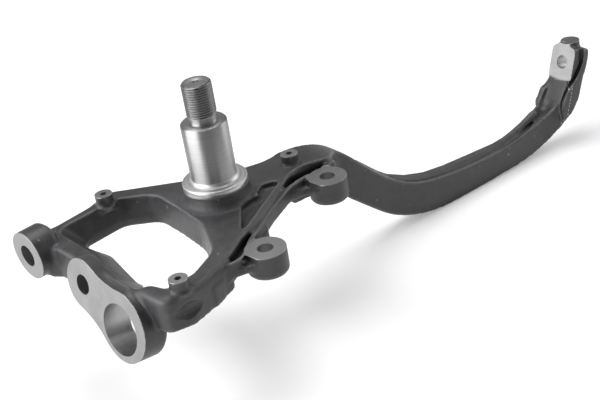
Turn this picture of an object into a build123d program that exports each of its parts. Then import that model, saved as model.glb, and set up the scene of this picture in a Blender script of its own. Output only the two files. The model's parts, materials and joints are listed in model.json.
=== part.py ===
"""Steering knuckle: one steel forging with a machined stub axle, a ring-shaped body,
a lower bracket for two ball joints, a track-rod boss, two caliper ears and a long
gooseneck arm that carries the upper ball joint.

Millimetres. The origin is on the spindle axis at the face of the bearing flange.
+Z runs out along the spindle to its threaded end, +X points to the gooseneck.
"""
from math import acos, atan2, cos, hypot, radians, sin, sqrt, tan
import os

from build123d import *

# ---- stub axle (turned) ----
thread_d = 24.0            # M24 x 2, cut on the outer end
thread_end = 82.5          # from the flange face to the end of the spindle
thread_length = 27.0
relief_d = 21.2            # run-out groove between the thread and the journal
journal_d = 36.8           # seat of the wheel bearing
journal_length = 49.5      # from the flange face to the journal's shoulder
flange_d = 52.0            # face that the bearing's inner ring rests on
flange_thick = 3.0
root_fillet = 4.0          # between the journal and the flange face
end_chamfer = 1.2
centre_hole_d = 5.0        # lathe centre in the spindle's end

# ---- forged ring ----
ring_reach = 124.0         # from the spindle axis to the lower end of the ring
ring_half_width = 90.0     # from the spindle axis to the ring's widest points
ring_top = -17.0           # upper side of the ring
ring_depth = 25.0
bar_depth = 27.0           # the ring is deeper along its lower bar and near corner
edge_fillet = 3.0
slope_depth = 19.0         # how far down the sloping inner side of the lower bar goes
undercut_z = -34.0         # the ring is cut back below this, under the web
hub_foot_d = 63.0          # where the skirt under the flange meets the ring
hub_skirt = 9.0            # height of the skirt above the ring
hub_back_d = 58.0          # boss on the lower side, behind the hub
hub_back_depth = 31.0
pocket_depth = 9.0

# ---- caliper ears and their web ----
ear_face_z = -22.0
ear_thick = 19.5
ear_d = 32.0
ear_chamfer = 1.5
ear_hole_d = 12.4          # clearance for the M12 bolts of the caliper bracket
ear_spacing = 111.2
ear_radius = 89.1          # from the spindle axis to each hole
ear_turn = -69.6           # direction of the pair's middle about the spindle, degrees
ear_flat = 14.5            # from each hole to the flat on the ear's lower side
web_top = -27.0
web_thick = 7.0
rib_top = -20.5
rib_width = 3.6

# ---- dust shield bosses ----
shield_face_z = -7.5
shield_boss_d = 14.6
shield_foot = 2.5          # flare at the foot of each boss
shield_hole_d = 5.0        # tapping size for M6
shield_hole_depth = 12.0
shield_bosses = [(69.7, -10.9), (-59.2, 72.1), (-104.7, -80.6)]

# ---- lower bracket ----
bracket_tilt = 10.0        # lean of the ball joint axis, degrees
bore_x, bore_y, bore_z = -136.3, -39.9, -49.7
bore_d = 40.6              # seat of the pressed-in ball joint
bore_length = 23.5
bore_clear_d = 46.0        # clearance for the ball joint behind its seat
bore_boss_d = 56.0
bore_boss_shift = (-2.0, 3.0)
boss_chamfer = 4.5          # back edge of the forged bosses
stud_hole_d = 15.8
stud_boss_d = 41.0
stud_along, stud_up = 44.2, 21.2   # from the bore, in the bracket's face
stud_hole_depth = 24.0
pad_thick = 12.0
waist_r = 60.0

# ---- track-rod boss ----
rod_face_x = -136.7
rod_y, rod_z = 71.8, -25.0
rod_boss_d = 39.6
rod_boss_length = 23.0
rod_hole_d = 17.8
rod_hole_depth = 27.0

# ---- gooseneck ----
neck_tilt = 6.3            # the arm leans towards -Y, degrees
neck_root_x, neck_root_y = 110.0, -4.0   # a point of the arm's middle line, in plan
neck_width = 20.0
neck_waist = 4.5           # the far side is hollowed by this much along the middle
neck_reach = 410.0         # from the spindle axis to the upper joint's face, along the arm
neck_drop = 89.5           # from the ring's upper side down to the arm's lowest upper side
neck_height = 27.0         # depth of the arm at its lowest stretch
head_width = 28.0
head_face_up = 52.0        # from the arm's lowest upper side up to the middle of the face
head_face_length = 31.0
head_tilt = 17.0           # lean of the upper joint's axis, degrees
head_thick = 15.5
head_hole_d = 13.0
head_end_d = 18.0          # round stub on the arm's upper end
head_end_up = 32.5         # from the lower edge of the upper joint's face up to the stub's end
rim_width = 33.0
rim_shift = -1.5
flange_width = 7.0         # forward flange of the rim, on its far side
saddle_d = 22.0            # rounded hollow in front of the head


def waist(c1, r1, c2, r2, r):
    """Start, middle and end of the hollow arc of radius r between two circles,
    on the left of the way from the first circle to the second."""
    dx, dy = c2[0] - c1[0], c2[1] - c1[1]
    d = hypot(dx, dy)
    along = (d * d + (r1 + r) ** 2 - (r2 + r) ** 2) / (2 * d)
    aside = sqrt((r1 + r) ** 2 - along ** 2)
    cx = c1[0] + (dx * along - dy * aside) / d
    cy = c1[1] + (dy * along + dx * aside) / d
    start = (c1[0] + (cx - c1[0]) * r1 / (r1 + r), c1[1] + (cy - c1[1]) * r1 / (r1 + r))
    end = (c2[0] + (cx - c2[0]) * r2 / (r2 + r), c2[1] + (cy - c2[1]) * r2 / (r2 + r))
    mx, my = (start[0] + end[0]) / 2 - cx, (start[1] + end[1]) / 2 - cy
    k = r / hypot(mx, my)
    return start, (cx + mx * k, cy + my * k), end


def rounded(corners):
    """Closed outline through the corners (x, y, r), each one rounded to its radius,
    or to less where its sides are too short for that."""
    n = len(corners)
    joins = []
    for i in range(n):
        x, y, r = corners[i]
        ax, ay = corners[i - 1][0] - x, corners[i - 1][1] - y
        bx, by = corners[(i + 1) % n][0] - x, corners[(i + 1) % n][1] - y
        la, lb = hypot(ax, ay), hypot(bx, by)
        ax, ay, bx, by = ax / la, ay / la, bx / lb, by / lb
        half_angle = acos(max(-1.0, min(1.0, ax * bx + ay * by))) / 2
        run = min(r / tan(half_angle), 0.45 * la, 0.45 * lb)
        mx, my = ax + bx, ay + by
        k = run * tan(half_angle) * (1 / sin(half_angle) - 1) / hypot(mx, my)
        joins.append(((x + ax * run, y + ay * run), (x + mx * k, y + my * k), (x + bx * run, y + by * run)))
    for i in range(n):
        ThreePointArc(*joins[i])
        Line(joins[i][2], joins[(i + 1) % n][0])


def across(corners):
    """The ring's corners, drawn on a ring 124 long and 90 wide, at this ring's size."""
    return [(x * ring_reach / 124.0, y * ring_half_width / 90.0, r) for x, y, r in corners]


ring_floor = ring_top - ring_depth
bar_floor = ring_top - bar_depth
slope_z = ring_top - slope_depth

# ---- spindle, flange and hub ----
thread_start = thread_end - thread_length
r_thread, r_relief, r_journal, r_flange = thread_d / 2, relief_d / 2, journal_d / 2, flange_d / 2
r_foot, r_back = hub_foot_d / 2, hub_back_d / 2
with BuildPart() as spindle:
    with BuildSketch(Plane.XZ):
        with BuildLine():
            Polyline(
                (0, ring_top - hub_back_depth),
                (0, thread_end),
                (r_thread - end_chamfer, thread_end),
                (r_thread, thread_end - end_chamfer),
                (r_thread, thread_start + r_thread - r_relief),
                (r_relief, thread_start),
                (r_relief, journal_length),
                (r_journal - end_chamfer, journal_length),
                (r_journal, journal_length - end_chamfer),
                (r_journal, root_fillet),
            )
            RadiusArc((r_journal, root_fillet), (r_journal + root_fillet, 0), -root_fillet)
            Polyline(
                (r_journal + root_fillet, 0),
                (r_flange, 0),
                (r_flange, -flange_thick),
                (r_flange - 1.0, -flange_thick - 1.0),
                (r_flange - 0.5, ring_top + hub_skirt),
            )
            Polyline(
                (r_flange - 0.5, ring_top + hub_skirt),
                (r_flange + (r_foot - r_flange) * 0.28, ring_top + hub_skirt * 0.3),
                (r_foot, ring_top - 0.5),
                (r_foot, ring_floor + 3.0),
                (r_back, ring_floor - 2.0),
                (r_back - 2.0, ring_top - hub_back_depth),
                (0, ring_top - hub_back_depth),
            )
        make_face()
    revolve(axis=Axis.Z)

# ---- ring ----
ring_outline = across([
    (-124, 62, 6), (-106, 80, 8), (-70, 82, 20), (-46, 90, 14), (24, 29, 60), (59, 15, 40),
    (88, 10.5, 4), (92, -20, 8), (88, -28.8, 4), (80, -26.5, 20), (54, -24, 14), (27, -38.5, 60),
    (-1, -52.5, 60), (-31, -63, 30), (-50, -73, 40), (-66, -79.5, 30), (-84, -85.5, 40),
    (-104, -89.5, 12), (-121, -84, 6), (-124, -76, 6),
])
bar_outline = across([
    (-124, 62, 6), (-110, 72, 6), (-88, 66, 8), (-88, -40, 10), (-76, -62, 20), (-56, -68, 6),
    (-54, -78, 6), (-67, -81.5, 20), (-84, -86, 30), (-104, -89.8, 12), (-121.5, -84, 6), (-124, -76.5, 6),
])
opening_top = across([
    (-109, 72, 12), (-48, 71, 16), (-26, 50, 18), (-30, 16, 40), (-36, -22, 50), (-57, -60, 26),
    (-86, -72, 20), (-110, -72, 6), (-114, -55, 4), (-126, -50, 4), (-125, -27, 20), (-112, 12, 20),
])
opening_low = across([
    (-95, 66, 10), (-50, 67, 14), (-28, 46, 16), (-31, 15, 40), (-37, -22, 50), (-58, -59, 22),
    (-84, -70, 16), (-96, -69, 6), (-98, -56, 6), (-99, -46, 8), (-101, -20, 16), (-89, 30, 20),
])
pocket_outline = across([
    (-2, -30, 2), (-25, -56, 1.5), (-17, -54, 4), (2, -44.5, 30), (29, -31.5, 30), (46, -23, 3),
    (31, -16.5, 4), (24, -21.5, 20), (13, -27.5, 20),
])
undercut_outline = across([
    (110, -22, 2), (50, -18, 10), (36, -22, 10), (20, -32, 10), (4, -40, 10), (-10, -46, 10), (-30, -57, 10),
    (-38, -66, 4), (-44, -75, 3), (-36, -110, 2), (110, -110, 2),
])
with BuildPart() as ring:
    with BuildSketch(Plane.XY.offset(ring_floor)):
        with BuildLine():
            rounded(ring_outline)
        make_face()
    extrude(amount=ring_depth)
    fillet(ring.faces().sort_by(Axis.Z)[-1].edges(), edge_fillet)
    with BuildSketch(Plane.XY.offset(bar_floor)):
        with BuildLine():
            rounded(bar_outline)
        make_face()
    extrude(amount=bar_depth - edge_fillet - 1.0)
    with BuildSketch(Plane.XY.offset(undercut_z)):
        with BuildLine():
            rounded(undercut_outline)
        make_face()
    extrude(amount=-bar_depth, mode=Mode.SUBTRACT)
    # small pad on the near wall, beside the lower corner
    with BuildSketch(Plane.XY.offset(bar_floor)):
        with BuildLine():
            rounded(across([(-84, -76, 2), (-82, -87, 3), (-68, -82.5, 3), (-68, -72, 2)]))
        make_face()
    extrude(amount=bar_depth - 11.0)
with BuildPart() as opening:
    # its far wall has draft, and its side along the lower bar slopes down into it
    for corners, z in ((opening_top, ring_top + 0.5), (opening_low, slope_z)):
        with BuildSketch(Plane.XY.offset(z)):
            with BuildLine():
                rounded(corners)
            make_face()
    loft(ruled=True)
    with BuildSketch(Plane.XY.offset(slope_z)):
        with BuildLine():
            rounded(opening_low)
        make_face()
    extrude(amount=-bar_depth)
with BuildPart() as pocket:
    with BuildSketch(Plane.XY.offset(ring_top + 2.0)):
        with BuildLine():
            rounded(pocket_outline)
        make_face()
    extrude(amount=-pocket_depth - 2.0)

# ---- caliper web and ears ----
half = ear_spacing / 2
reach = sqrt(ear_radius ** 2 - half ** 2)
turn = radians(ear_turn)
ears = [
    (reach * cos(turn) - half * sin(turn) * side, reach * sin(turn) + half * cos(turn) * side)
    for side in (1, -1)
]
(ex, ey), (fx, fy) = ears
web_outline = [
    (ex + 20, ey + 24, 4), (ex + 14, ey + 10, 6), (ex, ey, 4), (ex - 14, ey + 5, 5),
    (ex - 19, ey + 7.5, 6), (ex - 25, ey + 8.8, 8), (ex - 33, ey + 11.4, 20), (ex - 53, ey + 7.4, 30),
    (ex - 70, ey - 2.2, 12), (ex - 77.5, ey - 12, 10),
    (fx + 14, fy + 10, 4), (fx, fy, 4), (fx - 12, fy - 5, 6), (fx - 22, fy - 0.5, 8), (fx - 36, fy + 4.5, 6),
    (fx - 42, fy + 8, 4), (fx - 34, fy + 14, 6), (fx + 18, fy + 34, 20), (ex - 26, ey + 28, 20),
]
rib_line = [
    (ex + 22, ey + 13), (ex - 1, ey + 13.4), (ex - 20, ey + 13.8), (ex - 31, ey + 12.2), (ex - 45, ey + 6.8),
    (ex - 62, ey - 0.2), (fx + 24, fy + 29.6), (fx + 11, fy + 22.6), (fx - 1, fy + 16.1), (fx - 10, fy + 9.6),
    (fx - 18, fy + 4.6), (fx - 26, fy + 3.6), (fx - 35, fy + 6.2),
]
with BuildPart() as caliper_web:
    with BuildSketch(Plane.XY.offset(web_top - web_thick)):
        with BuildLine():
            rounded(web_outline)
        make_face()
    extrude(amount=web_thick)
    with BuildSketch(Plane.XY.offset(web_top - web_thick + 1.0)):
        with BuildLine():
            spine = Spline(*rib_line)
        trace(spine, line_width=rib_width)
    extrude(amount=rib_top - web_top + web_thick - 1.0)
    for ear in ears:
        with BuildSketch(Plane.XY.offset(ear_face_z - ear_thick)):
            with Locations(ear):
                Circle(ear_d / 2)
        extrude(amount=ear_thick)
    chamfer(caliper_web.faces().filter_by(Axis.Z).group_by(Axis.Z)[0].edges(), ear_chamfer)
with BuildPart() as ear_relief:
    # flat on each ear's face side, towards the lower bracket
    for x, y in ears:
        with BuildSketch(Plane.XY.offset(ear_face_z - 6.0)):
            with Locations((x - ear_flat - 3.0, y - 4.0)):
                Rectangle(6.0, ear_d * 0.72)
        extrude(amount=7.0)

# ---- lower bracket: two joint bosses in one machined face ----
lean = radians(bracket_tilt)
bracket_plane = Plane(
    origin=(bore_x, bore_y, bore_z), x_dir=(0, 1, 0), z_dir=(cos(lean), 0, -sin(lean)))
stud = (stud_along, stud_up)
r_bore_boss, r_stud_boss = bore_boss_d / 2, stud_boss_d / 2
bx, by = bore_boss_shift
far = hypot(stud[0] - bx, stud[1] - by)
ux, uy = (stud[0] - bx) / far, (stud[1] - by) / far
with BuildPart() as bracket:
    with BuildSketch(bracket_plane):
        with BuildLine():
            s1, m1, e1 = waist((bx, by), r_bore_boss, stud, r_stud_boss, waist_r)
            s2, m2, e2 = waist(stud, r_stud_boss, (bx, by), r_bore_boss, waist_r)
            ThreePointArc(s1, m1, e1)
            ThreePointArc(e1, (stud[0] + ux * r_stud_boss, stud[1] + uy * r_stud_boss), s2)
            ThreePointArc(s2, m2, e2)
            ThreePointArc(e2, (bx - ux * r_bore_boss, by - uy * r_bore_boss), s1)
        make_face()
    extrude(amount=pad_thick)
    with BuildSketch(bracket_plane):
        with Locations((bx, by)):
            Circle(r_bore_boss)
    extrude(amount=bore_length)
    chamfer(bracket.faces().sort_by(Axis.X)[-1].edges(), boss_chamfer)

# ---- track-rod boss ----
with BuildPart() as rod_boss:
    with BuildSketch(Plane.YZ.offset(rod_face_x)):
        with Locations((rod_y, rod_z)):
            Circle(rod_boss_d / 2)
    extrude(amount=rod_boss_length)
    chamfer(rod_boss.faces().sort_by(Axis.X)[-1].edges(), boss_chamfer)
    with BuildSketch(Plane.XY.offset(bar_floor)):
        with BuildLine():
            rounded([
                (-ring_reach, rod_y - 23, 4), (-ring_reach - 4.5, rod_y - 15, 2),
                (-ring_reach - 4.5, rod_y + 2, 4), (-ring_reach + 12, rod_y + 11, 8),
                (-ring_reach + 28, rod_y + 7, 6), (-ring_reach + 28, rod_y - 16, 4),
            ])
        make_face()
    extrude(amount=bar_depth - 1.0)

# ---- gooseneck ----
tilt = radians(neck_tilt)
low_top = ring_top - neck_drop
neck_plane = Plane(
    origin=(neck_root_x * (1 - cos(tilt)), neck_root_y + neck_root_x * sin(tilt), 0),
    x_dir=(cos(tilt), -sin(tilt), 0), z_dir=(-sin(tilt), -cos(tilt), 0))
head = radians(head_tilt)
head_mid = (neck_reach, low_top + head_face_up)
half_face = head_face_length / 2
face_low = (head_mid[0] - half_face * sin(head), head_mid[1] - half_face * cos(head))
face_high = (head_mid[0] + half_face * sin(head), head_mid[1] + half_face * cos(head))


def along(u, w):
    """A point of the arm's side view: a share of its reach, and of its drop."""
    return (u * neck_reach, ring_top - w * neck_drop)


def behind(point, run, up=0.0):
    """A point behind the upper joint's face, square to it, and up along it."""
    return (point[0] + run * cos(head) + up * sin(head), point[1] - run * sin(head) + up * cos(head))


def beside(u, v):
    """A point of the arm's plan: a share of its reach, and a distance to its far side."""
    x, y = neck_plane.origin.X + u * neck_reach * cos(tilt), neck_plane.origin.Y - u * neck_reach * sin(tilt)
    return x + v * sin(tilt), y + v * cos(tilt)


top_line = [
    along(0.146, 0.0), along(0.232, 0.005), along(0.283, 0.085), along(0.341, 0.310), along(0.415, 0.640),
    along(0.490, 0.850), along(0.590, 0.957), along(0.700, 0.998), along(0.800, 0.985), along(0.868, 0.935),
    along(0.915, 0.885), along(0.949, 0.805), along(0.972, 0.665), face_low,
]
low_line = [
    along(0.200, 0.330), along(0.254, 0.430), along(0.302, 0.630), along(0.356, 0.850), along(0.417, 1.075),
    along(0.485, 1.222), along(0.560, 1.295), along(0.680, 1.302), along(0.790, 1.290), along(0.880, 1.240),
    along(0.945, 1.120),
]
with BuildPart() as gooseneck:
    with BuildSketch(neck_plane):
        with BuildLine():
            Spline(*top_line)
            Polyline(face_low, face_high, behind(face_high, head_thick), behind(face_low, head_thick))
            Spline(behind(face_low, head_thick), along(0.993, 0.985), low_line[-1])
            Spline(*reversed(low_line))
            Polyline(low_line[0], along(0.146, 0.330), top_line[0])
        make_face()
    extrude(amount=2.0 * neck_width, both=True)
    with BuildSketch(Plane.XY.offset(low_top - 3 * neck_height)):
        with BuildLine():
            far_side = [
                (*beside(0.28, neck_width / 2), 20), (*beside(0.5, neck_width / 2), 300),
                (*beside(0.74, neck_width / 2 - neck_waist), 300),
                (*beside(0.86, neck_width / 2 - neck_waist), 60),
                (*beside(0.93, neck_width / 2 + 2.0), 60), (*beside(1.2, neck_width / 2 + 2.0), 3),
            ]
            near_side = [
                (*beside(1.2, -head_width / 2 + 2.0), 3), (*beside(0.955, -head_width / 2 + 2.0), 30),
                (*beside(0.9, -neck_width / 2), 60), (*beside(0.285, -neck_width / 2), 14),
            ]
            rounded([(52, -22, 4), (52, 12, 4), (84, 10.8, 30), *far_side, *near_side,
                     (98, -28.5, 8), (86, -28.2, 10), (70, -24, 10)])
        make_face()
    extrude(amount=5 * neck_height + neck_drop, mode=Mode.INTERSECT)

head_hole = neck_plane.from_local_coords((head_mid[0], head_mid[1], 0))
head_plane = Plane(
    origin=head_hole, x_dir=(-sin(tilt), -cos(tilt), 0),
    z_dir=(-cos(head) * cos(tilt), cos(head) * sin(tilt), sin(head)))
hw = head_width / 2
with BuildPart() as lug:
    with BuildSketch(head_plane):
        with BuildLine():
            rounded([
                (-hw, -half_face, 1), (-hw, half_face - 2.5, 2), (-hw + 3, half_face - 0.5, 1),
                (-hw * 0.42, half_face + 3.5, 1), (hw * 0.42, half_face + 3.2, 1),
                (hw * 0.5, half_face - 0.5, 1),
                (hw - 1.5, half_face - 1.5, 1), (hw, half_face - 3, 1), (hw, -half_face, 1),
            ])
        make_face()
    extrude(amount=-head_thick)
    # round stub on the arm's upper end, level with the joint's face
    end_z = face_low[1] + head_end_up
    face_end = face_low[0] + head_end_up * tan(head)
    stub = neck_plane.from_local_coords((face_end + head_end_d / 2 + 0.3, end_z, -1.7))
    with BuildSketch(Plane.XY.offset(end_z)):
        with Locations((stub.X, stub.Y)):
            Circle(head_end_d / 2)
    extrude(amount=-head_end_up / 3)
    # the rim runs up behind the face and ends in a tip below it
    with BuildSketch(neck_plane.offset(-rim_shift)):
        with BuildLine():
            Spline(
                behind(face_low, 15.3, 32.0), behind(face_low, 16.9, 20.3), behind(face_low, 15.0, 5.0),
                behind(face_low, 13.9, -11.0), behind(face_low, 12.0, -22.0), behind(face_low, 6.5, -32.5),
                behind(face_low, -1.9, -39.8))
            Polyline(
                behind(face_low, -1.9, -39.8), behind(face_low, -6.5, -38.6), behind(face_low, -8.6, -32.0))
            Spline(
                behind(face_low, -8.6, -32.0), behind(face_low, -7.6, -20.0), behind(face_low, -3.7, -10.0),
                behind(face_low, 2.8, -0.7), behind(face_low, 7.8, 8.0), behind(face_low, 8.3, 32.0))
            Line(behind(face_low, 8.3, 32.0), behind(face_low, 15.3, 32.0))
        make_face()
    extrude(amount=rim_width / 2, both=True)
    with BuildSketch(neck_plane.offset(-rim_shift - rim_width / 2)):
        with BuildLine():
            rounded([(*behind(face_low, run, up), r) for run, up, r in (
                (-4, -9, 2), (-9.5, -12.8, 2), (-12, -21, 10), (-13.7, -27, 3), (-11, -33, 3),
                (-3, -36, 3), (2, -12, 3),
            )])
        make_face()
    extrude(amount=flange_width)
with BuildPart() as saddle:
    with Locations(neck_plane.from_local_coords((*behind(face_low, -19.9, -23.8), -1.0))):
        Sphere(saddle_d / 2)

with BuildPart() as knuckle:
    add(ring.part)
    add(bracket.part)
    add(rod_boss.part)
    add(opening.part, mode=Mode.SUBTRACT)
    add(caliper_web.part)
    add(ear_relief.part, mode=Mode.SUBTRACT)
    add(spindle.part)
    add(pocket.part, mode=Mode.SUBTRACT)
    add(gooseneck.part)
    add(lug.part)
    add(saddle.part, mode=Mode.SUBTRACT)
    # dust shield bosses, each with a flared foot
    for x, y in shield_bosses:
        with BuildSketch(Plane.XY.offset(ring_top - 5)):
            with Locations((x, y)):
                Circle(shield_boss_d / 2)
        extrude(amount=shield_face_z - ring_top + 5)
        with BuildSketch(Plane.XY.offset(ring_top - 1)):
            with Locations((x, y)):
                Circle(shield_boss_d / 2 + shield_foot)
        extrude(amount=shield_foot + 1, taper=40)
    for x, y in shield_bosses:
        with Locations((x, y, shield_face_z)):
            Hole(shield_hole_d / 2, depth=shield_hole_depth)
    for x, y in ears:
        with Locations((x, y, ear_face_z)):
            Hole(ear_hole_d / 2, depth=ear_thick + 10)
    with Locations((0, 0, thread_end)):
        CounterSinkHole(centre_hole_d / 4, centre_hole_d / 2, depth=4.0, counter_sink_angle=60)
    with BuildSketch(bracket_plane):
        Circle(bore_d / 2)
    extrude(amount=bore_length, mode=Mode.SUBTRACT)
    with BuildSketch(bracket_plane.offset(bore_length)):
        Circle(bore_clear_d / 2)
    extrude(amount=bore_length, mode=Mode.SUBTRACT)
    with BuildSketch(bracket_plane):
        with Locations(stud):
            Circle(stud_hole_d / 2)
    extrude(amount=stud_hole_depth, mode=Mode.SUBTRACT)
    with BuildSketch(Plane.YZ.offset(rod_face_x)):
        with Locations((rod_y, rod_z)):
            Circle(rod_hole_d / 2)
    extrude(amount=rod_hole_depth, mode=Mode.SUBTRACT)
    with BuildSketch(head_plane):
        Circle(head_hole_d / 2)
    extrude(amount=-2 * head_thick, mode=Mode.SUBTRACT)

knuckle.part.label = "steering_knuckle"
os.makedirs("parts", exist_ok=True)
export_step(knuckle.part, "parts/steering_knuckle.step")
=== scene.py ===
"""Looks of the steering knuckle.

The forging is grown from the CAD solid: every machined face first gets a machining allowance,
the whole is remeshed and softened as a hammered skin, and the faces, bores and holes are then cut
crisp. The turned stub axle, with its real thread, is a lathed form of its own on the same blank.
"""
import json
import math

import bmesh
import bpy
import numpy as np
from mathutils import Euler, Matrix, Vector


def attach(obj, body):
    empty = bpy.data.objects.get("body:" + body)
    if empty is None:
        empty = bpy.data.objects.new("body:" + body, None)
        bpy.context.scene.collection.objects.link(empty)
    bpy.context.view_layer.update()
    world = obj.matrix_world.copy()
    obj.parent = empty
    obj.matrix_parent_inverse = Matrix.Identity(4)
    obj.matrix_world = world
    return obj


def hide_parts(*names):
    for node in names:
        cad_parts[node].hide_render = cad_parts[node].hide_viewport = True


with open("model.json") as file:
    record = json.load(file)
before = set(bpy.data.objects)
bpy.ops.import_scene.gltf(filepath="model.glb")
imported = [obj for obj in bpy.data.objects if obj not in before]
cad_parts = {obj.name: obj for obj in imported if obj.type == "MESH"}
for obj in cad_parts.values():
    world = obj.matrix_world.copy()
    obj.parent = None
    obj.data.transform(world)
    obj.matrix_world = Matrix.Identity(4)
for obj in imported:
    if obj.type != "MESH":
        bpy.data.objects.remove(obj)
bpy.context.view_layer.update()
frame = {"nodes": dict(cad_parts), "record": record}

MM = 0.001
UP = Vector((0, 0, 1))


def vec(*mm):
    """A point given in millimetres, in the row frame."""
    return Vector(mm) * MM


# ---- machined faces and bores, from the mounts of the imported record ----
MOUNTS = {mount["name"]: mount for mount in frame["record"]["mounts"]}
EAR_THICK = 19.5
FACE_REACH = 75.0     # no machined face reaches further than this from its point
RIM_REACH = 19.0      # the same for the small faces that look up


def bore_of(name, outward=1, through=False):
    """A bore from its mount: point on its face, normal out of it, radius, depth, through or not."""
    mount = MOUNTS[name]
    normal = Vector(mount["axis"]) * outward
    radius, depth = mount["dims"]["r_mm"], mount["dims"]["length_mm"]
    return Vector(mount["pos_m"]) + normal * depth / 2 * MM, normal, radius, depth, through


def ear_bores():
    """The two caliper bolt holes, on either side of the middle of their pattern."""
    mount = MOUNTS["caliper_bolts"]
    middle = Vector(mount["pos_m"])
    aside = Vector((-middle.y, middle.x, 0)).normalized() * mount["dims"]["pcd_mm"] / 2 * MM
    return [(middle + aside * k, UP, mount["dims"]["hole_r_mm"], EAR_THICK, True) for k in (1, -1)]


ears = ear_bores()
shield_screws = [bore_of(name) for name in MOUNTS if name.startswith("shield_screw_")]
bores = [
    bore_of("lower_joint_bore", through=True), bore_of("link_stud_hole"), bore_of("track_rod_bore"),
    bore_of("upper_joint_bore", outward=-1, through=True), *ears, *shield_screws,
]
JOINT, JOINT_N = bores[0][:2]
ROD, ROD_N = bores[2][:2]
HEAD, HEAD_N = bores[3][:2]
END = vec(422.99, -36.84, -36.82)      # flat of the round stub on the arm's upper end
machined = [(JOINT, JOINT_N), (ROD, ROD_N), (HEAD, HEAD_N), (END, UP)]
machined += [bore[:2] for bore in ears + shield_screws]

# the machined faces' cutters: each clears its face and spares what stands beside it
JOINT_CLEAR = [(-68, -36), (33, -36), (33, 62), (-68, 62)]
ROD_CUTTER_R, END_CUTTER_R, EAR_CUTTER_R, SHIELD_CUTTER_R = 24.0, 11.0, 16.8, 10.5
# the upper joint's cutter stands above its hole, and leaves the face's lower edge round
HEAD_CUTTER_R, HEAD_CUTTER_UP = 48.0, 30.5
# the forging stops under the flange, where the lathed stub axle takes over
AXLE_CLEAR_R, AXLE_CLEAR_LOW, AXLE_CLEAR_HIGH = 60.0, -2.6, 120.0


# ---- modelling helpers ----
def new_object(name, bm):
    mesh = bpy.data.meshes.new(name)
    bm.normal_update()
    bm.to_mesh(mesh)
    bm.free()
    obj = bpy.data.objects.new(name, mesh)
    bpy.context.scene.collection.objects.link(obj)
    return obj


def settle(obj):
    """Applies the modifiers of obj to its mesh."""
    depsgraph = bpy.context.evaluated_depsgraph_get()
    mesh = bpy.data.meshes.new_from_object(obj.evaluated_get(depsgraph))
    obj.modifiers.clear()
    obj.data = mesh


def gridded(obj, voxel_mm):
    """Rebuilds obj, whose forms may overlap, as one closed skin of small even faces."""
    grid = obj.modifiers.new("grid", "REMESH")
    grid.mode = "VOXEL"
    grid.voxel_size = voxel_mm * MM
    settle(obj)


def cut_by(obj, tool):
    """Takes the tool's space away from obj, and the tool with it."""
    cut = obj.modifiers.new("cut", "BOOLEAN")
    cut.operation = "DIFFERENCE"
    cut.solver = "MANIFOLD"
    cut.object = tool
    settle(obj)
    bpy.data.objects.remove(tool)


def smoothing(obj, name, passes, group=""):
    soft = obj.modifiers.new(name, "SMOOTH")
    soft.factor = 0.5
    soft.iterations = passes
    soft.vertex_group = group


def rows_of(data, key):
    """One row of three numbers per vertex or face."""
    rows = np.zeros(len(data) * 3)
    data.foreach_get(key, rows)
    return rows.reshape(-1, 3)


def side_axes(normal):
    a = Vector((0, 0, 1)) if abs(normal.z) < 0.9 else Vector((1, 0, 0))
    x = a.cross(normal).normalized()
    return x, normal.cross(x).normalized()


def circle(radius, sides=64, up=0.0):
    turns = [2 * math.pi * i / sides for i in range(sides)]
    return [(radius * math.cos(a), up + radius * math.sin(a)) for a in turns]


def prism(bm, point, normal, outline, low, high):
    """A closed prism on an outline in the plane through point, between two heights along normal."""
    x, y = side_axes(normal)
    rings = [
        [bm.verts.new(point + (normal * h + x * a + y * b) * MM) for a, b in outline]
        for h in (low, high)
    ]
    for i in range(len(outline)):
        j = (i + 1) % len(outline)
        bm.faces.new((rings[0][i], rings[0][j], rings[1][j], rings[1][i]))
    bm.faces.new(list(reversed(rings[0])))
    bm.faces.new(rings[1])


def string_of_balls(bm, path, steps):
    """A rounded ridge or hollow along a path: x, y, z and radius in mm at each of its points."""
    for a, b in zip(path, path[1:]):
        for k in range(steps + 1):
            x, y, z, r = (p + (q - p) * k / steps for p, q in zip(a, b))
            bmesh.ops.create_icosphere(
                bm, subdivisions=2, radius=r * MM, matrix=Matrix.Translation(vec(x, y, z)))


# ---- the forging ----
SKIN_GRID = 1.22
HOLLOW_GRID = 0.8
ALLOWANCE = 3.0       # stock on each machined face
ROOTED = 1.0          # how far that stock starts below its face
PLUG_WALL = 1.5       # how far the plug in each bore reaches into the bore's wall

# pocket between the hub and the ribs, and a forged peg in it
POCKET = [
    (-2, -29), (-24, -55), (-17, -55), (2, -45.5), (29, -32.5), (46, -23), (31, -15.5), (24, -20.5),
    (13, -26.5),
]
POCKET_LOW, POCKET_FLOOR = -36.0, -21.5
PEG, PEG_R, PEG_TALL = (16.5, -24.5, -20.0), 3.6, 4.4

# rounded far edge of the long arm's upper side: distance along the arm, and height of its middle
NECK_TILT = math.radians(6.3)
LIP_R, LIP_ASIDE = 4.8, 9.4
LIP = [
    (144, -54), (165, -73.5), (176, -82), (197, -92.5), (221, -100), (246, -103.5), (285, -106.3),
    (312, -108.2), (326, -107.6), (340, -104.8), (354, -100.9), (368, -95.5),
]

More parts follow.
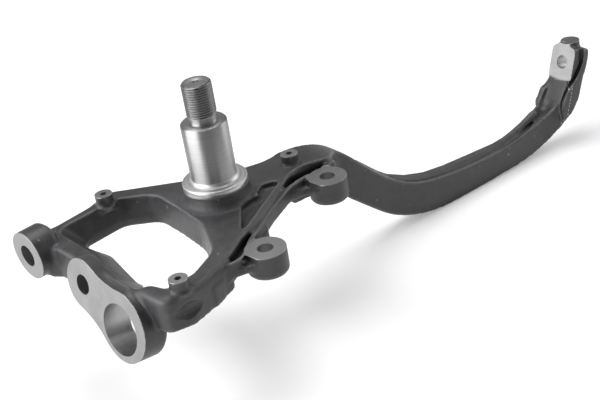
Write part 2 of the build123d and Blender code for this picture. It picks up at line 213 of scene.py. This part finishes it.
# what the dies leave hollow: x, y, z and radius of the hollow along each path
HEAD_CHANNEL = [
    (419, -53, -42, 2.0), (417.5, -52.5, -56, 2.2), (411, -51.5, -64.5, 2.2),
    (404.5, -51, -71, 2.2), (396, -50, -78, 2.2), (389, -49.5, -86.5, 2.2),
    (385.5, -51, -94, 2.4), (385, -53, -102, 2.4),
]
ARM_GROOVE = [
    (300, -34, -105.6, 0.8), (320, -35, -105.6, 1.6), (331.6, -35.9, -104, 2.2),
    (344.4, -36, -102, 2.6), (354, -35.5, -100.6, 2.4), (360, -35, -99.6, 1.4),
]
CORNER_RECESS = [(-118, -92, -31, 7.0), (-107, -93.5, -31, 9.0), (-95, -94, -31, 7.0)]

# the block's upper corners are the softest: x, y, z and reach
SOFT_CORNERS = ((-124, -72, -17, 17), (-124, -58, -17, 15), (-119, -85, -19, 10))
SOFT_PASSES, SOFTEST_PASSES = 9, 60


def lip_path():
    return [
        (s * math.cos(NECK_TILT) + LIP_ASIDE * math.sin(NECK_TILT),
         LIP_ASIDE * math.cos(NECK_TILT) - s * math.sin(NECK_TILT), z, LIP_R)
        for s, z in LIP
    ]


def add_stock(bm, point, normal):
    """Raises the machined face through point by the allowance, as a slab of its own."""
    flat = [
        f for f in bm.faces
        if f.normal.dot(normal) > 0.999
        and abs((f.calc_center_median() - point).dot(normal)) < 0.12 * MM
        and (f.calc_center_median() - point).length < FACE_REACH * MM
    ]
    copies = bmesh.ops.duplicate(bm, geom=flat)["geom"]
    faces = [g for g in copies if isinstance(g, bmesh.types.BMFace)]
    for v in {v for f in faces for v in f.verts}:
        v.co -= normal * ROOTED * MM
    raised = bmesh.ops.extrude_face_region(bm, geom=faces, use_keep_orig=True)["geom"]
    for v in (g for g in raised if isinstance(g, bmesh.types.BMVert)):
        v.co += normal * (ROOTED + ALLOWANCE) * MM


def forged_blank():
    """The CAD solid with stock on its machined faces and its bores filled, as one gridded skin."""
    bm = bmesh.new()
    bm.from_mesh(frame["nodes"]["steering_knuckle"].data)
    bmesh.ops.remove_doubles(bm, verts=bm.verts, dist=0.001 * MM)
    bm.normal_update()
    for point, normal in machined:
        add_stock(bm, point, normal)
    for point, normal, radius, depth, _ in bores:
        prism(bm, point, normal, circle(radius + PLUG_WALL, 32), -0.9 * depth, ALLOWANCE - 0.4)
    # prisms that look up take an outline as (-y, x)
    prism(bm, vec(0, 0, 0), UP, [(-y, x) for x, y in POCKET], POCKET_LOW, POCKET_FLOOR)
    prism(bm, vec(*PEG), UP, circle(PEG_R, 24), 0, PEG_TALL)
    string_of_balls(bm, lip_path(), 12)
    bmesh.ops.recalc_face_normals(bm, faces=bm.faces)
    blank = new_object("steering_knuckle_forging", bm)
    gridded(blank, SKIN_GRID)
    return blank


def cut_hollows(obj):
    bm = bmesh.new()
    for path in (HEAD_CHANNEL, ARM_GROOVE, CORNER_RECESS):
        string_of_balls(bm, path, 8)
    tool = new_object("carver", bm)
    gridded(tool, HOLLOW_GRID)
    cut_by(obj, tool)


def soften(obj):
    """Rounds the skin as hammering and scale do, most on the block's upper corners."""
    place = rows_of(obj.data.vertices, "co")
    softest = obj.vertex_groups.new(name="softest")
    for x, y, z, reach in SOFT_CORNERS:
        near = 1.0 - np.linalg.norm(place - np.array(vec(x, y, z)), axis=1) / (reach * MM)
        for i in np.nonzero(near > 0.0)[0]:
            softest.add([int(i)], float(min(1.0, near[i] * 2.0)), "ADD")
    smoothing(obj, "soft", SOFT_PASSES)
    smoothing(obj, "softer", SOFTEST_PASSES, "softest")
    settle(obj)


def machine(obj):
    """Mills each face down to its plane, clears the stub axle's place and drills the bores."""
    faced = bmesh.new()
    prism(faced, JOINT, JOINT_N, JOINT_CLEAR, 0, 12)
    prism(faced, ROD, ROD_N, circle(ROD_CUTTER_R), 0, 12)
    prism(faced, HEAD, HEAD_N, circle(HEAD_CUTTER_R, 192, HEAD_CUTTER_UP), 0, 12)
    prism(faced, END, UP, circle(END_CUTTER_R), 0, 8)
    for bore in ears:
        prism(faced, bore[0], UP, circle(EAR_CUTTER_R), 0, 10)
    for bore in shield_screws:
        prism(faced, bore[0], UP, circle(SHIELD_CUTTER_R), 0, 10)
    prism(faced, vec(0, 0, 0), UP, circle(AXLE_CLEAR_R), AXLE_CLEAR_LOW, AXLE_CLEAR_HIGH)
    drilled = bmesh.new()
    for point, normal, radius, depth, through in bores:
        prism(drilled, point, normal, circle(radius), -depth - (3.0 if through else 0.0), 5)
    for name, bm in (("faced", faced), ("drilled", drilled)):
        cut_by(obj, new_object(name, bm))


# ---- turned stub axle ----
THREAD_R, PITCH, THREAD_DEPTH = 12.0, 2.0, 1.15
THREAD_LOW, THREAD_HIGH = 55.5, 82.5
ROWS_PER_TURN = 12
STEPS = 128
# radius and height, from inside the hub up to the thread
AXLE_PROFILE = [
    (22.0, -9.0), (26.0, -6.0), (26.0, -0.5), (25.5, 0.0), (22.4, 0.0), (21.3, 0.12), (20.3, 0.6),
    (19.4, 1.4), (18.8, 2.4), (18.45, 3.4), (18.4, 4.2), (18.4, 48.4), (17.4, 49.5), (11.6, 49.5),
    (10.9, 49.8), (10.6, 50.6), (10.6, 54.6), (11.0, 55.3),
]
# end of the axle with its lathe centre
AXLE_END = [(10.0, THREAD_HIGH), (2.2, THREAD_HIGH), (0.4, THREAD_HIGH - 1.6)]


def thread_radius(turn, z):
    """Radius of the helix at a turn about the axis and a height, run out at both ends."""
    phase = (z / PITCH - turn / (2 * math.pi)) % 1.0
    groove = min(1.0, max(0.0, abs(phase - 0.5) * 2.6 - 0.25))
    return min(
        THREAD_R - 0.05 - THREAD_DEPTH * (1.0 - groove),
        THREAD_R - 1.4 + (THREAD_HIGH - z),
        THREAD_R - 1.3 + (z - THREAD_LOW) * 1.2,
    )


def stub_axle():
    bm = bmesh.new()
    turns = [2 * math.pi * i / STEPS for i in range(STEPS)]

    def ring(radii, z):
        around = [(r * math.cos(a), r * math.sin(a)) for r, a in zip(radii, turns)]
        return [bm.verts.new(vec(x, y, z)) for x, y in around]

    rings = [ring([r] * STEPS, z) for r, z in AXLE_PROFILE]
    rows = int((THREAD_HIGH - THREAD_LOW) / PITCH * ROWS_PER_TURN)
    for k in range(1, rows + 1):
        z = THREAD_LOW + (THREAD_HIGH - THREAD_LOW) * k / rows
        rings.append(ring([thread_radius(a, z) for a in turns], z))
    rings += [ring([r] * STEPS, z) for r, z in AXLE_END]
    for low, high in zip(rings, rings[1:]):
        for i in range(STEPS):
            j = (i + 1) % STEPS
            bm.faces.new((low[i], low[j], high[j], high[i]))
    bm.faces.new(list(reversed(rings[0])))
    bm.faces.new(rings[-1])
    return new_object("steering_knuckle_axle", bm)


# ---- material helpers ----
def nodes_of(name):
    mat = bpy.data.materials.new(name)
    mat.use_nodes = True
    tree = mat.node_tree
    tree.nodes.clear()
    return mat, tree.nodes, tree.links


def principled(name):
    """A new material: itself, its nodes and links, its shader and its object coordinates."""
    mat, nodes, links = nodes_of(name)
    shader = nodes.new("ShaderNodeBsdfPrincipled")
    links.new(shader.outputs[0], nodes.new("ShaderNodeOutputMaterial").inputs[0])
    return mat, nodes, links, shader, nodes.new("ShaderNodeTexCoord").outputs["Object"]


def link_bump(nodes, links, height, strength, distance, under=None):
    bump = nodes.new("ShaderNodeBump")
    bump.inputs["Strength"].default_value = strength
    bump.inputs["Distance"].default_value = distance
    links.new(height, bump.inputs["Height"])
    if under:
        links.new(under, bump.inputs["Normal"])
    return bump.outputs["Normal"]


def noise(nodes, links, where, scale, detail=3.0, rough=0.5):
    node = nodes.new("ShaderNodeTexNoise")
    node.inputs["Scale"].default_value = scale
    node.inputs["Detail"].default_value = detail
    node.inputs["Roughness"].default_value = rough
    links.new(where, node.inputs["Vector"])
    return node.outputs["Fac"]


def ramp(nodes, links, value, stops):
    """A colour ramp through (position, grey or colour) stops."""
    node = nodes.new("ShaderNodeValToRGB")
    while len(node.color_ramp.elements) < len(stops):
        node.color_ramp.elements.new(0.5)
    for element, (position, c) in zip(node.color_ramp.elements, stops):
        element.position = position
        element.color = (*c, 1.0) if isinstance(c, tuple) else (c, c, c, 1.0)
    links.new(value, node.inputs["Fac"])
    return node.outputs["Color"]


def maths(nodes, links, operation, *values):
    """A Math node on sockets or plain numbers."""
    node = nodes.new("ShaderNodeMath")
    node.operation = operation
    for value, socket in zip(values, node.inputs):
        if isinstance(value, (int, float)):
            socket.default_value = value
        else:
            links.new(value, socket)
    return node.outputs[0]


def mixed(nodes, links, factor, a, b, blend="MIX"):
    """A colour mix, by a socket or a number, of a socket with a socket or a colour."""
    node = nodes.new("ShaderNodeMix")
    node.data_type = "RGBA"
    node.blend_type = blend
    if isinstance(factor, float):
        node.inputs["Factor"].default_value = factor
    else:
        links.new(factor, node.inputs["Factor"])
    for value, socket in ((a, node.inputs["A"]), (b, node.inputs["B"])):
        if isinstance(value, tuple):
            socket.default_value = (*value, 1)
        else:
            links.new(value, socket)
    return node.outputs["Result"]


def from_axis(nodes, links, where):
    """The coordinates apart, and the distance in metres from the stub axle's axis."""
    axes = nodes.new("ShaderNodeSeparateXYZ")
    links.new(where, axes.inputs[0])
    squares = [maths(nodes, links, "POWER", axes.outputs[k], 2.0) for k in "XY"]
    return axes, maths(nodes, links, "SQRT", maths(nodes, links, "ADD", *squares))


# ---- materials ----
def forged_skin():
    """Thin dark coating on a scaly forged skin, with painted highlights lightening its sharp edges
    and painted shade darkening its hollows and creases.
    """
    mat, nodes, links, shader, where = principled("coated_forging")
    broad = noise(nodes, links, where, 24.0, 3.0, 0.55)
    mottle = noise(nodes, links, where, 120.0, 4.0, 0.6)
    fine = noise(nodes, links, where, 620.0, 3.0, 0.6)
    tone = ramp(nodes, links, broad, [(0.3, (0.036, 0.036, 0.038)), (0.7, (0.056, 0.056, 0.059))])
    shade = ramp(nodes, links, mottle, [(0.3, 0.70), (0.7, 1.05)])
    tone = mixed(nodes, links, 1.0, tone, shade, "MULTIPLY")
    edge = nodes.new("ShaderNodeNewGeometry").outputs["Pointiness"]
    # painted highlight: sharp convex edges are painted lighter
    edge_highlight = ramp(nodes, links, edge, [(0.508, 0.0), (0.56, 0.8)])
    tone = mixed(nodes, links, edge_highlight, tone, (0.20, 0.20, 0.21))
    # painted shade: concave hollows are painted darker
    hollow = ramp(nodes, links, edge, [(0.42, 0.85), (0.488, 0.0)])
    tone = mixed(nodes, links, hollow, tone, (0.012, 0.012, 0.013))
    # painted shade: creases and recesses found by ambient occlusion are painted near black, and
    # their specular sheen is dimmed
    crease = nodes.new("ShaderNodeAmbientOcclusion")
    crease.inputs["Distance"].default_value = 0.016
    crease_shade = ramp(nodes, links, crease.outputs["AO"], [(0.25, 0.9), (0.8, 0.0)])
    tone = mixed(nodes, links, crease_shade, tone, (0.006, 0.006, 0.006))
    sheen = ramp(nodes, links, crease.outputs["AO"], [(0.25, 0.1), (0.8, 0.5)])
    links.new(sheen, shader.inputs["Specular IOR Level"])
    flecks = noise(nodes, links, where, 230.0, 2.0, 0.5)
    specks = ramp(nodes, links, flecks, [(0.735, 0.0), (0.765, 0.9)])
    tone = mixed(nodes, links, specks, tone, (0.30, 0.30, 0.31))
    rim = nodes.new("ShaderNodeAttribute")
    rim.attribute_name = "bare_rim"
    bare = ramp(nodes, links, rim.outputs["Fac"], [(0.35, 0.0), (0.6, 1.0)])
    tone = mixed(nodes, links, bare, tone, (0.45, 0.45, 0.46))
    links.new(bare, shader.inputs["Metallic"])
    links.new(tone, shader.inputs["Base Color"])
    rough = ramp(nodes, links, mottle, [(0.3, 0.36), (0.7, 0.50)])
    links.new(rough, shader.inputs["Roughness"])
    skin = link_bump(nodes, links, fine, 0.22, 0.0005)
    skin = link_bump(nodes, links, mottle, 0.20, 0.0015, skin)
    skin = link_bump(nodes, links, broad, 0.22, 0.004, skin)
    skin = link_bump(nodes, links, hub_streaks(nodes, links, where), 0.5, 0.0012, skin)
    links.new(skin, shader.inputs["Normal"])
    return mat


def hub_streaks(nodes, links, where):
    """Fine streaks that run down the hub's cone from the flange, fading out on the ring."""
    axes, out = from_axis(nodes, links, where)
    turn = maths(nodes, links, "ARCTAN2", axes.outputs["Y"], axes.outputs["X"])
    fan = nodes.new("ShaderNodeCombineXYZ")
    links.new(maths(nodes, links, "MULTIPLY", turn, 26.0), fan.inputs["X"])
    links.new(maths(nodes, links, "MULTIPLY", out, 60.0), fan.inputs["Y"])
    streaks = noise(nodes, links, fan.outputs[0], 1.0, 3.0, 0.6)
    decimetres = maths(nodes, links, "MULTIPLY", out, 10.0)
    fade = ramp(nodes, links, decimetres, [(0.24, 0.0), (0.29, 1.0), (0.42, 1.0), (0.52, 0.0)])
    return maths(nodes, links, "MULTIPLY", streaks, fade)


def milled_steel(name, dull, bright):
    """Bright milled or ground face with faint cutter arcs."""
    mat, nodes, links, shader, where = principled(name)
    cloud = noise(nodes, links, where, 70.0, 4.0, 0.6)
    tone = ramp(nodes, links, cloud, [(0.3, dull), (0.7, bright)])
    links.new(tone, shader.inputs["Base Color"])
    shader.inputs["Metallic"].default_value = 1.0
    wave = nodes.new("ShaderNodeTexWave")
    wave.wave_type = "RINGS"
    wave.rings_direction = "SPHERICAL"
    wave.inputs["Scale"].default_value = 420.0
    wave.inputs["Distortion"].default_value = 2.0
    links.new(where, wave.inputs["Vector"])
    arcs = wave.outputs["Fac"]
    links.new(ramp(nodes, links, arcs, [(0.0, 0.36), (1.0, 0.46)]), shader.inputs["Roughness"])
    grit = link_bump(nodes, links, noise(nodes, links, where, 900.0, 3.0, 0.6), 0.12, 0.0003)
    links.new(link_bump(nodes, links, arcs, 0.06, 0.0002, grit), shader.inputs["Normal"])
    return mat


def bored_steel():
    """The dimmer inside of a bore, uneven where its drill ran."""
    mat, nodes, links, shader, where = principled("bored_steel")
    cloud = noise(nodes, links, where, 160.0, 4.0, 0.6)
    links.new(ramp(nodes, links, cloud, [(0.3, 0.38), (0.7, 0.46)]), shader.inputs["Base Color"])
    links.new(ramp(nodes, links, cloud, [(0.3, 0.34), (0.7, 0.44)]), shader.inputs["Roughness"])
    shader.inputs["Metallic"].default_value = 1.0
    grit = noise(nodes, links, where, 700.0, 3.0, 0.6)
    links.new(link_bump(nodes, links, grit, 0.2, 0.0003), shader.inputs["Normal"])
    return mat


def threaded_steel():
    """Cut thread: bright crests, with its roots painted dark as shade."""
    mat, nodes, links, shader, where = principled("threaded_steel")
    height = nodes.new("ShaderNodeMapRange")
    links.new(from_axis(nodes, links, where)[1], height.inputs["Value"])
    height.inputs["From Min"].default_value = (THREAD_R - THREAD_DEPTH) * MM
    height.inputs["From Max"].default_value = (THREAD_R - 0.1) * MM
    # painted shade: the thread's roots are painted dark by their distance from the axis
    tone = ramp(nodes, links, height.outputs["Result"], [(0.1, 0.04), (0.9, 0.36)])
    grit = noise(nodes, links, where, 900.0, 3.0, 0.6)
    little = maths(nodes, links, "MULTIPLY", grit, 0.3)
    links.new(mixed(nodes, links, little, tone, (0.25, 0.25, 0.26)), shader.inputs["Base Color"])
    links.new(ramp(nodes, links, grit, [(0.3, 0.30), (0.7, 0.42)]), shader.inputs["Roughness"])
    shader.inputs["Metallic"].default_value = 1.0
    return mat


def turned_steel():
    """Ground and turned steel whose fine rings stretch each reflection along the axle."""
    mat, nodes, links, shader, where = principled("turned_steel")
    stretch = nodes.new("ShaderNodeMapping")
    stretch.inputs["Scale"].default_value = (12, 12, 1600)
    links.new(where, stretch.inputs["Vector"])
    lines = noise(nodes, links, stretch.outputs["Vector"], 1.0, 3.0, 0.6)
    links.new(ramp(nodes, links, lines, [(0.3, 0.34), (0.7, 0.44)]), shader.inputs["Base Color"])
    links.new(ramp(nodes, links, lines, [(0.3, 0.36), (0.7, 0.46)]), shader.inputs["Roughness"])
    shader.inputs["Metallic"].default_value = 1.0
    shader.inputs["Anisotropic"].default_value = 0.9
    shader.inputs["Anisotropic Rotation"].default_value = 0.25
    around = nodes.new("ShaderNodeTangent")
    around.direction_type = "RADIAL"
    around.axis = "Z"
    links.new(around.outputs[0], shader.inputs["Tangent"])
    links.new(link_bump(nodes, links, lines, 0.06, 0.0002), shader.inputs["Normal"])
    return mat


# ---- which faces are machined ----
SKIN, MILLED, BORED = range(3)
TURNED, THREADED, AXLE_END_FACE, GROUND = range(4)
GROUND_BELOW = 3.0
ON_PLANE = 0.04 * MM
RIM = 0.6 * MM


def finish_of(mesh):
    """The finish of each face, from its place: skin, milled or bored."""
    centre = rows_of(mesh.polygons, "center")
    normal = rows_of(mesh.polygons, "normal")
    finish = np.full(len(mesh.polygons), SKIN, np.int32)
    for p, n in machined:
        p, n = np.array(p), np.array(n)
        on = (np.abs((centre - p) @ n) < ON_PLANE) & (normal @ n > 0.999)
        finish[on & (np.linalg.norm(centre - p, axis=1) < FACE_REACH * MM)] = MILLED

    def from_line(p, n):
        along = (centre - p) @ n
        return along, np.linalg.norm(centre - p - np.outer(along, n), axis=1)

    # the step that the head's round cutter leaves under its face
    axis = HEAD + side_axes(HEAD_N)[1] * HEAD_CUTTER_UP * MM
    along, away = from_line(np.array(axis), np.array(HEAD_N))
    step = np.abs(away - HEAD_CUTTER_R * MM) < 0.2 * MM
    finish[step & (along > 0) & (along < 8 * MM)] = MILLED
    for p, n, radius, depth, _ in bores:
        along, away = from_line(np.array(p), np.array(n))
        inside = (away < (radius + 0.03) * MM) & (along < -0.1 * MM)
        finish[inside & (along > -(depth + 1) * MM)] = BORED
    return finish


def bare_rims(mesh):
    """How far the skin's coating is rubbed bare at each vertex: fully at the rim of a machined
    face.
    """
    place = rows_of(mesh.vertices, "co")
    rim = np.zeros(len(place))
    for p, n in machined:
        p, n = np.array(p), np.array(n)
        reach = FACE_REACH if abs(n[2]) < 0.5 else RIM_REACH
        near = np.linalg.norm(place - p, axis=1) < reach * MM
        rim = np.maximum(rim, near * np.clip(1.0 - np.abs((place - p) @ n) / RIM, 0.0, 1.0))
    return rim


def dress_forging(obj, milled):
    mesh = obj.data
    mesh.materials.clear()
    for mat in (forged_skin(), milled, bored_steel()):
        mesh.materials.append(mat)
    finish = finish_of(mesh)
    mesh.attributes.new("bare_rim", "FLOAT", "POINT").data.foreach_set("value", bare_rims(mesh))
    mesh.polygons.foreach_set("material_index", finish)
    mesh.polygons.foreach_set("use_smooth", finish == SKIN)
    mesh.update()


def dress_axle(obj, milled):
    """Turned, with a cut thread, milled ends and a ground flange for the bearing."""
    ground = milled_steel("ground_steel", 0.55, 0.65)
    for mat in (turned_steel(), threaded_steel(), milled, ground):
        obj.data.materials.append(mat)
    for f in obj.data.polygons:
        f.use_smooth = True
        f.material_index = TURNED
        if f.center.z < GROUND_BELOW * MM:
            f.material_index = GROUND
        elif abs(f.normal.z) > 0.8:
            f.material_index = AXLE_END_FACE
        elif f.center.z > THREAD_LOW * MM:
            f.material_index = THREADED


def smooth_below(obj, degrees):
    """Shades obj smooth, with its sharper edges kept crisp."""
    for other in bpy.context.selected_objects:
        other.select_set(False)
    obj.select_set(True)
    bpy.context.view_layer.objects.active = obj
    bpy.ops.object.shade_auto_smooth(angle=math.radians(degrees))
    settle(obj)


forging = forged_blank()
cut_hollows(forging)
soften(forging)
machine(forging)
axle = stub_axle()
milled = milled_steel("milled_steel", 0.28, 0.34)
dress_forging(forging, milled)
dress_axle(axle, milled)
bpy.context.view_layer.update()
smooth_below(axle, 24)
smooth_below(forging, 32)

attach(forging, "root")
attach(axle, "root")
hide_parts("steering_knuckle")

# ---- floor ----
FLOOR_Z = -0.1345
FLOOR_HALF = 6.0
FLOOR_GREY = 0.80
FLOOR_GLOW = 0.28     # lifts the floor to white for the camera and in reflections, without lighting


def pale_floor():
    bm = bmesh.new()
    for x, y in ((-1, -1), (1, -1), (1, 1), (-1, 1)):
        bm.verts.new((x * FLOOR_HALF, y * FLOOR_HALF, FLOOR_Z))
    bm.faces.new(bm.verts)
    obj = new_object("floor", bm)
    mat, nodes, links = nodes_of("floor")
    ray = nodes.new("ShaderNodeLightPath").outputs
    seen = maths(nodes, links, "MAXIMUM", ray["Is Camera Ray"], ray["Is Glossy Ray"])
    seen = maths(nodes, links, "MAXIMUM", seen, ray["Is Transmission Ray"])
    lit = nodes.new("ShaderNodeBsdfDiffuse")
    lit.inputs["Color"].default_value = (FLOOR_GREY, FLOOR_GREY, FLOOR_GREY, 1)
    glow = nodes.new("ShaderNodeEmission")
    links.new(maths(nodes, links, "MULTIPLY", seen, FLOOR_GLOW), glow.inputs["Strength"])
    both = nodes.new("ShaderNodeAddShader")
    links.new(lit.outputs[0], both.inputs[0])
    links.new(glow.outputs[0], both.inputs[1])
    links.new(both.outputs[0], nodes.new("ShaderNodeOutputMaterial").inputs[0])
    obj.data.materials.append(mat)
    return obj


pale_floor()


# ---- light ----
def studio_world():
    """A room that is bright low down and dims upwards, and dark on its -X -Y side."""
    world = bpy.data.worlds.new("studio")
    world.use_nodes = True
    nodes, links = world.node_tree.nodes, world.node_tree.links
    nodes.clear()
    sky = nodes.new("ShaderNodeSeparateXYZ")
    links.new(nodes.new("ShaderNodeTexCoord").outputs["Generated"], sky.inputs[0])
    height = ramp(nodes, links, sky.outputs["Z"], [(0.01, 0.95), (0.07, 0.42), (0.30, 0.23)])
    front = maths(nodes, links, "MULTIPLY_ADD", sky.outputs["X"], -0.29, 0.5)
    front = maths(nodes, links, "MULTIPLY_ADD", sky.outputs["Y"], -0.41, front)
    dark = ramp(nodes, links, front, [(0.72, 0.0), (0.95, 0.9)])
    back = nodes.new("ShaderNodeBackground")
    links.new(mixed(nodes, links, dark, height, (0.03, 0.03, 0.03)), back.inputs["Color"])
    links.new(back.outputs[0], nodes.new("ShaderNodeOutputWorld").inputs[0])
    return world


def lamp(name, place, target, width, tall, watts):
    """A soft rectangular lamp that looks at target."""
    data = bpy.data.lights.new(name, "AREA")
    data.shape = "RECTANGLE"
    data.size, data.size_y, data.energy = width, tall, watts
    obj = bpy.data.objects.new(name, data)
    bpy.context.scene.collection.objects.link(obj)
    obj.location = place
    obj.rotation_euler = (Vector(target) - Vector(place)).to_track_quat("-Z", "Y").to_euler()


bpy.context.scene.world = studio_world()
lamp("left", (-1.75, 0.60, 0.85), (-0.05, 0, -0.03), 2.4, 1.9, 57)
lamp("top", (0.20, 0.35, 1.25), (0.15, 0.05, 0), 0.9, 0.9, 11)
lamp("right", (1.25, -0.45, 0.60), (0.15, 0, 0), 1.0, 0.9, 5)

# ---- camera, where the photograph's stood ----
camera = bpy.data.objects.new("camera", bpy.data.cameras.new("camera"))
bpy.context.scene.collection.objects.link(camera)
bpy.context.scene.camera = camera
camera.location = (-0.48810, -0.68829, 0.42739)
camera.rotation_euler = Euler([math.radians(a) for a in (61.0247, 8.1178, -44.1254)])
camera.data.sensor_width = 36.0
camera.data.lens = 72.0
camera.data.clip_start = 0.01
bpy.context.scene.view_settings.view_transform = "Standard"

bpy.context.view_layer.update()
